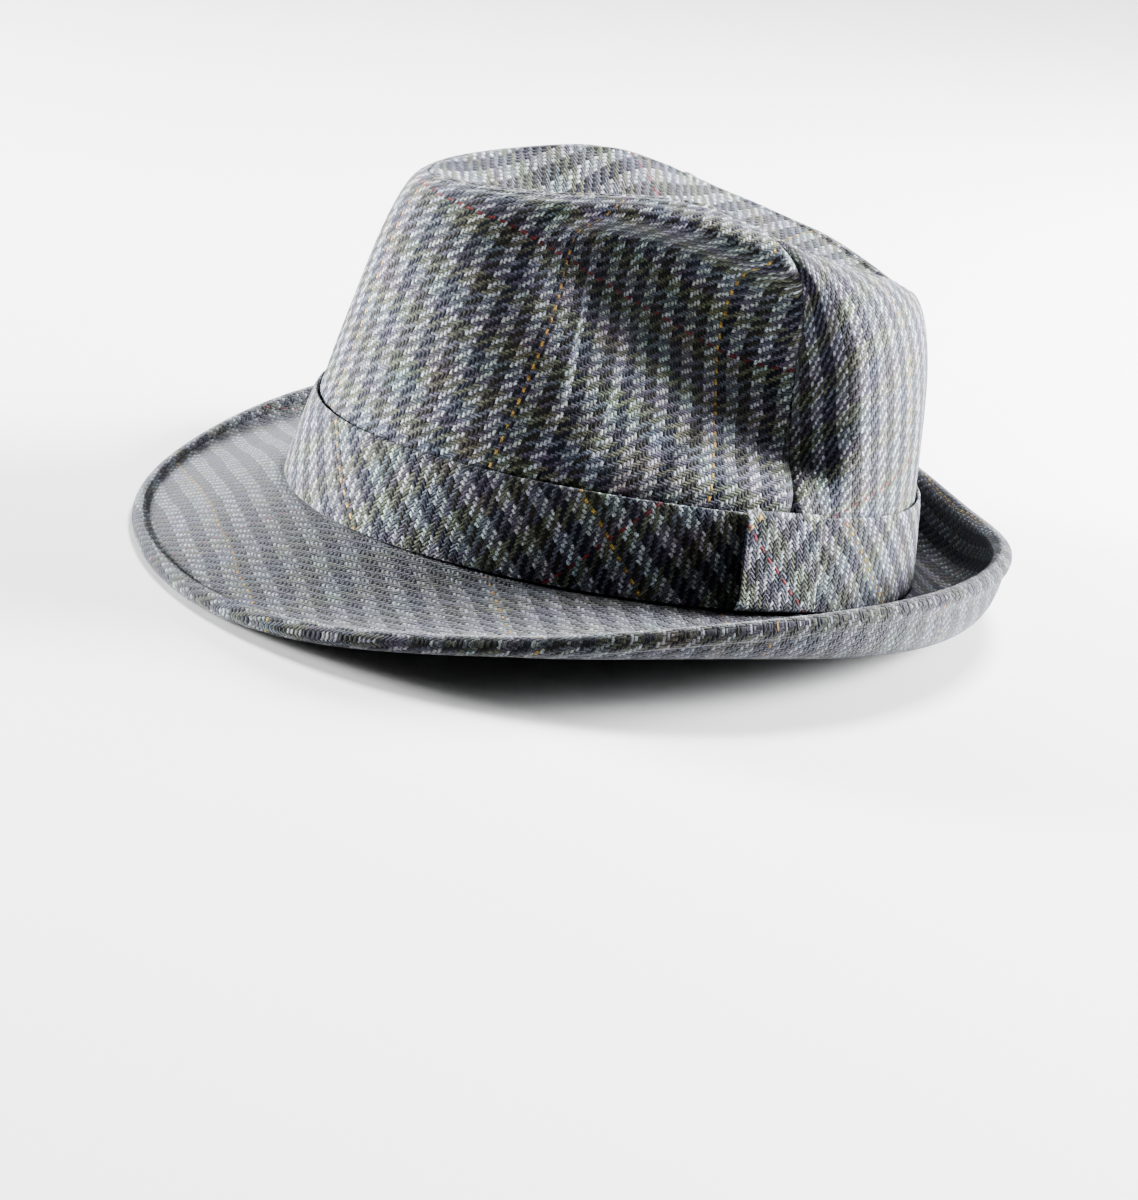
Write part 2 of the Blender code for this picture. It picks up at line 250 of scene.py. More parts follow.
@dataclass(frozen=True)
class Crown:
    """The form of the crown's outer face."""

    half_width: float = 0.0860
    half_length: float = 0.1015
    height: float = 0.1105
    egg: float = 0.035
    arch: float = 0.0046
    taper_deg: float = 11.0
    cloth: float = 0.0020
    centre_dent: float = 0.0240
    centre_dent_length: float = 0.42
    centre_dent_floor: float = 0.95
    side_dent: float = 0.0280
    dent_fade: float = 0.0130
    dent_start: float = 0.0130
    dent_full: float = 0.0470
    dent_above_band: float = 0.0140
    side_seam_deg: float = 102.0
    side_seam_slant_deg: float = 7.0
    side_seam_bend: float = 0.35
    band_height: float = 0.0280
    groove_steps: int = 61
    level_steps: int = 101

    def foot(self, angles: np.ndarray) -> np.ndarray:
        """The oval at the foot of the crown, a little higher at the sides.

        Args:
            angles: Angles round the hat.

        Returns:
            A point for each angle.
        """
        along = -self.half_length * np.cos(angles)
        across = self.half_width * np.sin(angles) * (1.0 + self.egg * along / self.half_length)
        return np.stack([across, along, self.arch * np.sin(angles) ** 2], axis=-1)

    def outward(self, angles: np.ndarray) -> np.ndarray:
        """Level directions that leave the foot squarely.

        Args:
            angles: Angles round the hat.

        Returns:
            A direction for each angle.
        """
        way = self.foot(angles + STEP) - self.foot(angles - STEP)
        square = np.stack([way[..., 1], -way[..., 0], 0.0 * way[..., 2]], axis=-1)
        return square / np.linalg.norm(square, axis=-1, keepdims=True)

    def dent(self, points: np.ndarray, ridge_height: np.ndarray) -> np.ndarray:
        """How far the side dents push the wall in.

        Args:
            points: Points of the wall before it is dented.
            ridge_height: The height of the ridge over each point. The dents fade out close under it.

        Returns:
            The push of each point towards the middle of the hat.
        """
        fine = np.linspace(0.0, len(GROOVES) - 1.0, self.groove_steps)
        knots = np.arange(len(GROOVES))
        along = np.interp(fine, knots, [row.along for row in GROOVES]) * self.half_length
        climb = np.interp(fine, knots, [row.height for row in GROOVES]) * self.height
        gap = points[..., None, 1:] - np.stack([along, climb], axis=-1)
        nearest = np.argmin(np.sum(gap**2, axis=-1), axis=-1)
        place = fine[nearest]
        off = np.take_along_axis(gap, nearest[..., None, None], axis=-2)[..., 0, :]
        before = np.interp(place, knots, [row.before for row in GROOVES])
        behind = np.interp(place, knots, [row.behind for row in GROOVES])
        width = np.where(off.sum(axis=-1) > 0.0, behind, before) * self.height
        depth = np.interp(place, knots, [row.depth for row in GROOVES]) * self.side_dent
        side = smooth(np.abs(points[..., 0]), self.dent_start, self.dent_full)
        band_top = self.band_height + self.arch
        clear = smooth(points[..., 2], band_top, band_top + self.dent_above_band)
        clear = clear * smooth(ridge_height - points[..., 2], self.cloth, self.cloth + self.dent_fade)
        return depth * side * clear * np.exp(-np.sum(off**2, axis=-1) / width**2)

    def wall(self, angles: np.ndarray, level: np.ndarray) -> np.ndarray:
        """The outer face of the wall.

        Args:
            angles: Angles round the hat.
            level: Levels up the crown, one for each angle.

        Returns:
            A point for each angle and level.
        """
        base = self.foot(angles)
        share = around(RIDGES, "reach", angles)[..., None]
        height = self.height * around(RIDGES, "height", angles)[..., None]
        level_base = base * (1.0 - UP)
        ridge = level_base * share + UP * height
        rise = 0.5 * (height - base[..., 2:])
        lean = math.tan(math.radians(self.taper_deg))
        low_bend = base + UP * rise - self.outward(angles) * lean * rise
        high_bend = ridge + level_base * (1.0 - share) * around(RIDGES, "shoulder", angles)[..., None]
        t = level[..., None]
        curve = (1 - t) ** 3 * base + 3 * (1 - t) ** 2 * t * low_bend
        curve = curve + 3 * (1 - t) * t**2 * high_bend + t**3 * ridge
        push = self.dent(curve, height[..., 0]) * np.sign(curve[..., 0])
        return curve - push[..., None] * np.array([1.0, 0.0, 0.0])

    def tip(self, angles: np.ndarray, level: np.ndarray) -> np.ndarray:
        """The outer face of the tip.

        Args:
            angles: Angles round the hat.
            level: Levels up the crown, one for each angle.

        Returns:
            A point for each angle and level.
        """
        ridge = self.wall(angles, np.ones_like(angles))
        q = np.clip(2.0 - level, 0.0, 1.0)
        along = ridge[..., 1] * (self.centre_dent_length + (1.0 - self.centre_dent_length) * q)
        floor = self.height - self.centre_dent
        down = smooth(1.0 - q, 0.0, self.centre_dent_floor)
        return np.stack([ridge[..., 0] * q, along, ridge[..., 2] + (floor - ridge[..., 2]) * down], axis=-1)

    def face(self, angles: np.ndarray, level: np.ndarray) -> np.ndarray:
        """The outer face of the whole crown.

        Args:
            angles: Angles round the hat.
            level: Levels up the crown, one for each angle.

        Returns:
            A point for each angle and level.
        """
        on_wall = self.wall(angles, np.clip(level, 0.0, 1.0))
        on_tip = self.tip(angles, np.clip(level, 1.0, 2.0))
        return np.where(level[..., None] <= 1.0, on_wall, on_tip)

    def shell(self, angles: np.ndarray, level: np.ndarray, off: np.ndarray) -> np.ndarray:
        """A face beside the crown's outer face.

        Args:
            angles: Angles round the hat.
            level: Levels up the crown, one for each angle.
            off: How far the face is moved out, or in where it is below 0.

        Returns:
            A point for each angle and level.
        """
        turn = self.face(angles + STEP, level) - self.face(angles - STEP, level)
        climb = self.face(angles, level + STEP) - self.face(angles, level - STEP)
        square = np.cross(turn, climb)
        square = square / np.maximum(np.linalg.norm(square, axis=-1, keepdims=True), TINY)
        return self.face(angles, level) + square * np.asarray(off)[..., None]

    def level_of(self, angles: np.ndarray, height: float) -> np.ndarray:
        """The level of the wall at a height.

        Args:
            angles: Angles round the hat.
            height: The height over the foot.

        Returns:
            The level of the wall there, for each angle.
        """
        steps = np.linspace(0.0, 1.0, self.level_steps)
        grid = self.wall(angles[:, None], np.broadcast_to(steps, (len(angles), len(steps))))
        return np.array([np.interp(height, line[:, 2] - line[0, 2], steps) for line in grid])

    def side_seam(self, level: np.ndarray) -> np.ndarray:
        """The angle of the left side seam."""
        slant = self.side_seam_slant_deg * smooth(level, 0.0, self.side_seam_bend)
        return np.radians(self.side_seam_deg + slant)

    def back_span(self, level: np.ndarray) -> np.ndarray:
        """Half the angle that the back panel spans, from the back to the left side seam."""
        return math.pi - self.side_seam(level)


@dataclass(frozen=True)
class Brim:
    """The form of the brim, with its rolled edge and the flange that stands inside the crown."""

    crown: Crown
    reach: float = 0.0420
    drop: float = 0.0230
    cloth: float = 0.0030
    roll: float = 0.0060
    roll_turn_deg: float = 128.0
    flange_height: float = 0.0100
    flange_cloth: float = 0.0015
    band_cloth: float = 0.0018
    seat_gap: float = 0.0003
    curve_rows: int = 26
    roll_rows: int = 14
    flange_rows: int = 5

    @property
    def body_rows(self) -> int:
        """How many points of the outline lie on the brim itself. They follow the flange's sole."""
        return 2 * (self.curve_rows - 1) + self.roll_rows

    def outline(self, angle: float) -> np.ndarray:
        """The closed outline of the brim at one angle.

        Args:
            angle: The angle round the hat.

        Returns:
            Points from the flange's sole over the underside and the roll to the top, seat and flange.
        """
        at = np.array([angle])
        read = {name: around(SECTIONS, name, at)[0] for name in Section._fields[1:]}
        start = np.array([2.0 * self.seat_gap + self.band_cloth, -self.seat_gap - 0.5 * self.cloth])
        first = np.array([self.reach * read["bend_in"], -self.drop * read["drop_in"]])
        second = np.array([self.reach * read["bend_out"], -self.drop * read["drop_out"]])
        last = np.array([self.reach * read["reach"], self.drop * read["rise"]])
        t = np.linspace(0.0, 1.0, self.curve_rows)[:, None]
        curve = start + 3 * (1 - t) ** 2 * t * first + 3 * (1 - t) * t**2 * second + t**3 * last
        way = np.gradient(curve, axis=0)
        way = way / np.linalg.norm(way, axis=1, keepdims=True)
        square = np.stack([-way[:, 1], way[:, 0]], axis=1)
        square[0] = (0.0, 1.0)
        heading = math.atan2(way[-1, 1], way[-1, 0])
        roll_turn = math.radians(self.roll_turn_deg)
        turns = heading + np.linspace(-roll_turn, roll_turn, self.roll_rows)
        roll = curve[-1] + 0.5 * self.roll * np.stack([np.cos(turns), np.sin(turns)], axis=1)
        keep = slice(0, self.curve_rows - 1)
        top = (curve + 0.5 * self.cloth * square)[keep][::-1]
        under = (curve - 0.5 * self.cloth * square)[keep]
        body = np.vstack([under, roll, top])
        out = self.crown.outward(at)[0]
        base = self.crown.foot(at)[0]
        placed = base + body[:, :1] * out + body[:, 1:] * UP
        lean = self.crown.level_of(at, self.flange_height)[0]
        levels = np.linspace(0.0, lean, self.flange_rows)
        same = np.full(len(levels), angle)
        gap = self.crown.cloth + self.seat_gap
        inside = self.crown.shell(same, levels, np.full(len(levels), -gap - self.flange_cloth))
        beside = self.crown.shell(same, levels, np.full(len(levels), -gap))
        seat = beside[0] - self.seat_gap * UP
        sole = inside[0] - (self.seat_gap + self.cloth) * UP
        return np.vstack([[sole], placed, [seat], beside[1:], inside[::-1]])


@dataclass(frozen=True)
class Rest:
    """How the hat lies on the floor, on the front edge and the back of its brim."""

    turn: np.ndarray
    shift: np.ndarray

    @classmethod
    def of(cls, brim: Brim, count: int = 64, flattened: float = 0.0007) -> "Rest":
        """The rest of a hat with this brim.

        Args:
            brim: The brim that touches the floor.
            count: How many sections of the brim are looked at.
            flattened: How far the cloth gives where it rests.

        Returns:
            The turn and shift from the crown's foot to the floor.
        """
        lows = []
        for angle in (0.0, math.pi):
            outline = brim.outline(angle)
            lows.append(outline[np.argmin(outline[:, 2])])
        pitch = -math.atan2(lows[1][2] - lows[0][2], lows[1][1] - lows[0][1])
        turn = np.array(Matrix.Rotation(pitch, 3, "X"))
        angles = np.linspace(0.0, FULL_TURN, count, endpoint=False)
        rings = np.array([brim.outline(angle) for angle in angles]) @ turn.T
        low, high = rings.min(axis=(0, 1)), rings.max(axis=(0, 1))
        return cls(turn, np.array([0.0, -0.5 * (low[1] + high[1]), -low[2] - flattened]))

    def lay(self, points: np.ndarray) -> np.ndarray:
        """Lays the hat on the floor, with its cloth flattened there.

        Args:
            points: Points as the crown stands upright.

        Returns:
            The points as the hat rests.
        """
        placed = points @ self.turn.T + self.shift
        placed[..., 2] = np.maximum(placed[..., 2], 0.0)
        return placed


class Nodes:
    """A short way to write a material's nodes."""

    MIX_FACTOR = 0
    MIX_FIRST = 6
    MIX_SECOND = 7
    MIX_RESULT = 2
    WITHIN_THREAD = 0.25

    def __init__(self, tree: bpy.types.NodeTree) -> None:
        self.tree = tree

    def add(self, kind: str, **settings: object) -> bpy.types.Node:
        """A node with some of its settings changed.

        Args:
            kind: Blender's name for the node.
            settings: Its settings.

        Returns:
            The node.
        """
        node = self.tree.nodes.new(kind)
        for name, value in settings.items():
            setattr(node, name, value)
        return node

    def feed(self, socket: bpy.types.NodeSocket, value: object) -> None:
        """A link or a plain value into a socket.

        Args:
            socket: The socket.
            value: Another node's output, or a value.
        """
        if isinstance(value, bpy.types.NodeSocket):
            self.tree.links.new(value, socket)
        else:
            socket.default_value = value

    def math(self, operation: str, *values: object) -> bpy.types.NodeSocket:
        """One step of arithmetic.

        Args:
            operation: Blender's name for the step.
            values: What it works on.

        Returns:
            The outcome.
        """
        node = self.add("ShaderNodeMath", operation=operation)
        for socket, value in zip(node.inputs, values):
            self.feed(socket, value)
        return node.outputs[0]

    def mix(self, factor: object, first: object, second: object, blend: str = "MIX") -> bpy.types.NodeSocket:
        """A blend of two colours.

        Args:
            factor: The share of the second colour.
            first: The first colour.
            second: The second colour.
            blend: Blender's name for the way of blending.

        Returns:
            The blended colour.
        """
        node = self.add("ShaderNodeMix", data_type="RGBA", blend_type=blend)
        self.feed(node.inputs[self.MIX_FACTOR], factor)
        self.feed(node.inputs[self.MIX_FIRST], first)
        self.feed(node.inputs[self.MIX_SECOND], second)
        return node.outputs[self.MIX_RESULT]

    def tone(self, colour: object, value: object) -> bpy.types.NodeSocket:
        """A colour made lighter or darker by a value."""
        return self.mix(1.0, colour, self.join(value, value, value), "MULTIPLY")

    def span(
        self, value: object, low: float, high: float, to_low: float = 0.0, to_high: float = 1.0
    ) -> bpy.types.NodeSocket:
        """A value carried softly from one range to another.

        Args:
            value: The value.
            low: The start of its range.
            high: The end of its range.
            to_low: The start of the new range.
            to_high: The end of the new range.

        Returns:
            The value in the new range.
        """
        node = self.add("ShaderNodeMapRange", interpolation_type="SMOOTHSTEP")
        for socket, item in zip(node.inputs, (value, low, high, to_low, to_high)):
            self.feed(socket, item)
        return node.outputs[0]

    def join(self, x: object, y: object, z: object = 0.0) -> bpy.types.NodeSocket:
        """A vector out of three values.

        Args:
            x: The first value.
            y: The second value.
            z: The third value.

        Returns:
            The vector.
        """
        node = self.add("ShaderNodeCombineXYZ")
        for socket, value in zip(node.inputs, (x, y, z)):
            self.feed(socket, value)
        return node.outputs[0]

    def noise(self, vector: object, scale: float, detail: float = 2.0) -> bpy.types.Node:
        """Soft noise at a place.

        Args:
            vector: The place.
            scale: How many times a metre it changes.
            detail: How fine it is.

        Returns:
            The noise.
        """
        node = self.add("ShaderNodeTexNoise")
        self.feed(node.inputs["Vector"], vector)
        node.inputs["Scale"].default_value = scale
        node.inputs["Detail"].default_value = detail
        return node

    def split(self, vector: object) -> bpy.types.Node:
        """The three values of a colour or vector.

        Args:
            vector: The colour or vector.

        Returns:
            A node with three outputs.
        """
        node = self.add("ShaderNodeSeparateXYZ")
        self.feed(node.inputs[0], vector)
        return node

    def chance(self, vector: object) -> bpy.types.Node:
        """An own random value for each whole place.

        Args:
            vector: The place, in whole numbers.

        Returns:
            The noise.
        """
        node = self.add("ShaderNodeTexWhiteNoise", noise_dimensions="2D")
        self.feed(node.inputs["Vector"], vector)
        return node

    def threads(self, number: object, colours: Sequence["Yarn"]) -> bpy.types.NodeSocket:
        """The colour of a thread by its number.

        Args:
            number: The thread's whole number.
            colours: The yarns of one repeat, thread by thread.

        Returns:
            The colour of that thread's yarn.
        """
        count = len(colours)
        share = self.math("DIVIDE", self.math("FLOORED_MODULO", number, float(count)), float(count))
        node = self.add("ShaderNodeValToRGB")
        ramp = node.color_ramp
        ramp.interpolation = "CONSTANT"
        self.feed(node.inputs[0], self.math("ADD", share, self.WITHIN_THREAD / count))
        changes = [0] + [i for i in range(1, count) if colours[i] is not colours[i - 1]]
        while len(ramp.elements) < len(changes):
            ramp.elements.new(1.0)
        while len(ramp.elements) > len(changes):
            ramp.elements.remove(ramp.elements[-1])
        for element, start in zip(ramp.elements, changes):
            element.position = start / count
            element.color = colours[start].value
        return node.outputs[0]


class Yarn(Enum):
    """The wool's colours."""

    PALE = (0.60, 0.64, 0.68, 1.0)
    MIST = (0.53, 0.56, 0.57, 1.0)
    SLATE = (0.21, 0.23, 0.28, 1.0)
    MOSS = (0.22, 0.23, 0.17, 1.0)
    PLUM = (0.18, 0.16, 0.22, 1.0)
    NAVY = (0.026, 0.029, 0.054, 1.0)
    OLIVE = (0.044, 0.041, 0.032, 1.0)
    GOLD = (0.68, 0.45, 0.15, 1.0)
    RUST = (0.36, 0.070, 0.080, 1.0)


WARP = (Yarn.PALE,) * 4 + (Yarn.NAVY,) * 4 + (Yarn.MIST,) * 4 + (Yarn.OLIVE,) * 4
WEFT = (Yarn.SLATE,) * 6 + (Yarn.MOSS,) * 6 + (Yarn.PLUM,) * 4


class Shake(NamedTuple):
    """One unevenness in the threads' course: how many threads it shifts, its scale and its detail."""

    threads: float
    scale: float
    detail: float


class Accent(NamedTuple):
    """A thin line of another yarn, one thread in each wide repeat."""

    yarn: Yarn
    pitch: float
    start: float


@dataclass(frozen=True)
class Tweed:
    """The cloth: a two over, two under twill in pale and dark warps, with thin gold and rust lines.

    Attributes:
        twill: 1 or -1, the way that the twill leans.
        gold_at: The warp thread of the first gold line. The next ones follow at the gold pitch.
        rust_at: The weft thread of the first rust line. The next ones follow at the rust pitch.
        shade: How light the cloth is against the rest of the hat, a darkening of its colour that paints the
            shade falling on the piece.
        blend: How softly warp and weft meet at the edge of a float.
        weft_rise: The height of a weft float against a warp float.
        shakes: The uneven course of hand spun threads.
        painted_shade_and_light: The painted shade between the floats and the painted light on top of them,
            as tones that multiply the cloth's colour.
        uneven: The tone of the darkest and of the lightest float.
        nap: How much the cloth's fine hairs light up at a slant.
        relief: The height of a float, in metres.
    """

    name: str
    twill: float = 1.0
    gold_at: float = 8.0
    rust_at: float = 20.0
    gold_pitch: float = 62.0
    rust_pitch: float = 124.0
    shade: float = 1.0
    blend: float = 0.30
    warp_pitch: float = 0.00106
    weft_pitch: float = 0.00096
    twill_repeat: float = 4.0
    weft_rise: float = 0.8
    arch_power: float = 0.6
    shakes: tuple[Shake, ...] = (Shake(0.9, 260.0, 2.0), Shake(3.0, 42.0, 1.0), Shake(0.85, 1500.0, 2.0))
    # Painted shade in the hollows between the floats and painted light on their tops, whole at this height
    # of a float.
    painted_shade_and_light: tuple[float, float] = (0.30, 1.12)
    painted_light_height: float = 0.75
    uneven: tuple[float, float] = (0.62, 1.38)
    cloud_scale: float = 75.0
    cloud_detail: float = 3.0
    cloud_tint: float = 0.38
    cloud_share: float = 0.8
    fibre_scale: float = 2600.0
    fibre_range: tuple[float, float] = (0.30, 0.72)
    fibre_tone: tuple[float, float] = (0.45, 1.75)
    roughness: float = 0.95
    specular: float = 0.15
    nap: float = 0.35
    nap_roughness: float = 0.6
    nap_tint: tuple[float, float, float, float] = (0.9, 0.93, 1.0, 1.0)
    relief: float = 0.00022
    relief_scale: float = 1700.0
    relief_detail: float = 3.0
    relief_fuzz: float = 0.5

    def material(self) -> bpy.types.Material:
        """The cloth's material. It reads the map named cloth, in metres along weft and warp.

        Returns:
            The material.
        """
        material = bpy.data.materials.new(self.name)
        material.use_nodes = True
        nodes = Nodes(material.node_tree)
        place = nodes.add("ShaderNodeUVMap", uv_map="cloth").outputs[0]
        warp_line, weft_line = self._lines(nodes, place)
        warp_number = nodes.math("FLOOR", warp_line)
        weft_number = nodes.math("FLOOR", weft_line)
        lift = self._lift(nodes, warp_number, weft_line)
        warp_high = self._float(nodes, nodes.math("FRACT", warp_line), lift)
        sunk = nodes.math("MULTIPLY", lift, -1.0)
        weft_high = self._float(nodes, nodes.math("FRACT", weft_line), sunk)
        height = nodes.math("MAXIMUM", warp_high, nodes.math("MULTIPLY", weft_high, self.weft_rise))
        gold = Accent(Yarn.GOLD, self.gold_pitch, self.gold_at)
        rust = Accent(Yarn.RUST, self.rust_pitch, self.rust_at)
        warp_colour = self._accent(nodes, nodes.threads(warp_number, WARP), warp_number, gold)
        weft_colour = self._accent(nodes, nodes.threads(weft_number, WEFT), weft_number, rust)
        warp_up = nodes.span(lift, -self.blend, self.blend)
        colour = nodes.mix(warp_up, weft_colour, warp_colour)
        colour = self._melange(nodes, colour, place, nodes.join(warp_number, weft_number))
        # Painted shade between the floats and painted light on their tops, both scaled by the piece's
        # painted shade.
        low, high = (tone * self.shade for tone in self.painted_shade_and_light)
        colour = nodes.tone(colour, nodes.span(height, 0.0, self.painted_light_height, low, high))
        self._surface(nodes, material, colour, height, place)
        return material

    def _lines(self, nodes: Nodes, place: object) -> list[bpy.types.NodeSocket]:
        """Places counted in warp and in weft threads, with the wander of hand spun yarn.

        Args:
            nodes: The material's nodes.
            place: The place in the flat cloth.

        Returns:
            The place along the weft in warp threads, and along the warp in weft threads.
        """
        flat = nodes.split(place)
        noises = [nodes.noise(place, shake.scale, shake.detail) for shake in self.shakes]
        shifts = [nodes.split(noise.outputs["Color"]) for noise in noises]
        lines = []
        for axis, pitch in enumerate((self.warp_pitch, self.weft_pitch)):
            line = nodes.math("DIVIDE", flat.outputs[axis], pitch)
            for shake, shift in zip(self.shakes, shifts):
                line = nodes.math("MULTIPLY_ADD", shift.outputs[axis], shake.threads, line)
            lines.append(line)
        return lines

    def _lift(self, nodes: Nodes, warp_number: object, weft_line: object) -> bpy.types.NodeSocket:
        """Above 0 where the warp floats over two wefts, and below 0 where it dives under the next two.

        Args:
            nodes: The material's nodes.
            warp_number: The warp thread's number.
            weft_line: The place in weft threads.

        Returns:
            The warp's lift.
        """
        leaning = nodes.math("MULTIPLY", warp_number, -self.twill)
        turn = nodes.math("MULTIPLY", nodes.math("ADD", weft_line, leaning), FULL_TURN / self.twill_repeat)
        return nodes.math("SINE", turn)

    def _float(self, nodes: Nodes, across: object, lift: object) -> bpy.types.NodeSocket:
        """The height of one float over the cloth, round across the thread and arched along it.

        Args:
            nodes: The material's nodes.
            across: The place across the thread, from 0 to 1.
            lift: Above 0 where the thread is on top.

        Returns:
            The height.
        """
        side = nodes.math("MULTIPLY_ADD", across, 2.0, -1.0)
        round_side = nodes.math("SUBTRACT", 1.0, nodes.math("POWER", nodes.math("ABSOLUTE", side), 2.0))
        arch = nodes.math("POWER", nodes.math("MAXIMUM", lift, 0.0), self.arch_power)
        return nodes.math("MULTIPLY", round_side, arch)

    def _accent(self, nodes: Nodes, colour: object, number: object, accent: Accent) -> bpy.types.NodeSocket:
        """The colour of a thread, or the accent's where its line runs."""
        place = nodes.math("FLOORED_MODULO", nodes.math("SUBTRACT", number, accent.start), accent.pitch)
        return nodes.mix(nodes.math("LESS_THAN", place, 0.5), colour, accent.yarn.value)

    def _melange(self, nodes: Nodes, colour: object, place: object, thread: object) -> bpy.types.NodeSocket:
        """Uneven dye from thread to thread, soft clouds of tint, and fine fibres.

        Args:
            nodes: The material's nodes.
            colour: The threads' colour.
            place: The place in the flat cloth.
            thread: The numbers of the warp and the weft thread.

        Returns:
            The uneven colour.
        """
        dye = nodes.chance(thread).outputs["Value"]
        colour = nodes.tone(colour, nodes.span(dye, 0.0, 1.0, *self.uneven))
        cloud = nodes.noise(place, self.cloud_scale, self.cloud_detail)
        tinted = nodes.mix(self.cloud_tint, GREY, cloud.outputs["Color"])
        colour = nodes.mix(self.cloud_share, colour, nodes.mix(1.0, colour, tinted, "MULTIPLY"))
        fibre = nodes.noise(place, self.fibre_scale)
        return nodes.tone(colour, nodes.span(fibre.outputs["Fac"], *self.fibre_range, *self.fibre_tone))

    def _surface(
        self, nodes: Nodes, material: bpy.types.Material, colour: object, height: object, place: object
    ) -> None:
        """Matt wool with a soft nap.

        Args:
            nodes: The material's nodes.
            material: The material.
            colour: The cloth's colour.
            height: The threads' height.
            place: The place in the flat cloth.
        """
        shader = material.node_tree.nodes["Principled BSDF"]
        nodes.feed(shader.inputs["Base Color"], colour)
        shader.inputs["Roughness"].default_value = self.roughness
        shader.inputs["Specular IOR Level"].default_value = self.specular
        shader.inputs["Sheen Weight"].default_value = self.nap
        shader.inputs["Sheen Roughness"].default_value = self.nap_roughness
        shader.inputs["Sheen Tint"].default_value = self.nap_tint
        fuzz = nodes.noise(place, self.relief_scale, self.relief_detail)
        rough = nodes.math("MULTIPLY_ADD", fuzz.outputs["Fac"], self.relief_fuzz, height)
        relief = nodes.add("ShaderNodeBump")
        relief.inputs["Strength"].default_value = 1.0
        relief.inputs["Distance"].default_value = self.relief
        nodes.feed(relief.inputs["Height"], rough)
        nodes.feed(shader.inputs["Normal"], relief.outputs[0])


def sheet(name: str, points: np.ndarray, cloth: np.ndarray) -> bpy.types.Object:
    """A grid of cloth laid on a form.

    Args:
        name: The piece's name.
        points: Rows of points, from low to high and from the front round the wearer's left.
        cloth: For each point its place in the flat cloth, in metres.

    Returns:
        The piece, with a map named cloth.
    """
    bpy.ops.object.select_all(action="DESELECT")
    rows, count = points.shape[:2]
    bpy.ops.mesh.primitive_grid_add(x_subdivisions=count - 1, y_subdivisions=rows - 1, size=2.0)
    piece = bpy.context.object
    piece.name = name
    mesh = piece.data
    flat = np.empty(len(mesh.vertices) * 3)
    mesh.vertices.foreach_get("co", flat)
    share = 0.5 * flat.reshape(-1, 3) + 0.5
    column = np.rint(share[:, 0] * (count - 1)).astype(int)
    row = np.rint(share[:, 1] * (rows - 1)).astype(int)
    mesh.vertices.foreach_set("co", points[row, column].ravel())
    corner = np.empty(len(mesh.loops), dtype=int)
    mesh.loops.foreach_get("vertex_index", corner)
    mesh.uv_layers[0].name = "cloth"
    mesh.uv_layers[0].data.foreach_set("uv", cloth[row, column][corner].ravel())
    mesh.update()
    return piece


def weld(piece: bpy.types.Object) -> None:
    """Joins the ends of a ring and turns its faces out.

    Args:
        piece: The piece to close.
    """
    bpy.ops.object.mode_set(mode="EDIT")
    bpy.ops.mesh.select_all(action="SELECT")
    bpy.ops.mesh.remove_doubles(threshold=WELD)
    bpy.ops.mesh.normals_make_consistent(inside=False)
    bpy.ops.object.mode_set(mode="OBJECT")


def thicken(piece: bpy.types.Object, cloth: float) -> None:
    """Gives a single sheet its cloth's thickness, inwards.

    Args:
        piece: The sheet.
        cloth: The thickness.
    """
    layer = piece.modifiers.new("cloth", "SOLIDIFY")
    layer.thickness = cloth
    layer.offset = -1.0
    bpy.ops.object.modifier_apply(modifier=layer.name)


@dataclass
class HatPiece:
    """A part of the hat that stands for a solid of the frame."""

    node: str
    slot: Slot
    cloth: Tweed
    rest: Rest

    def dress(self, piece: bpy.types.Object) -> bpy.types.Object:
        """Smooth faces, the cloth's finish, and the solid that the piece stands for.

        Args:
            piece: The piece's mesh.

        Returns:
            The finished piece.
        """
        bpy.ops.object.shade_smooth()
        piece.data.materials.clear()
        piece.data.materials.append(self.cloth.material())
        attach(piece, "root")
        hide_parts(self.node)
        LOG.info("%s: %d faces", piece.name, len(piece.data.polygons))
        return piece


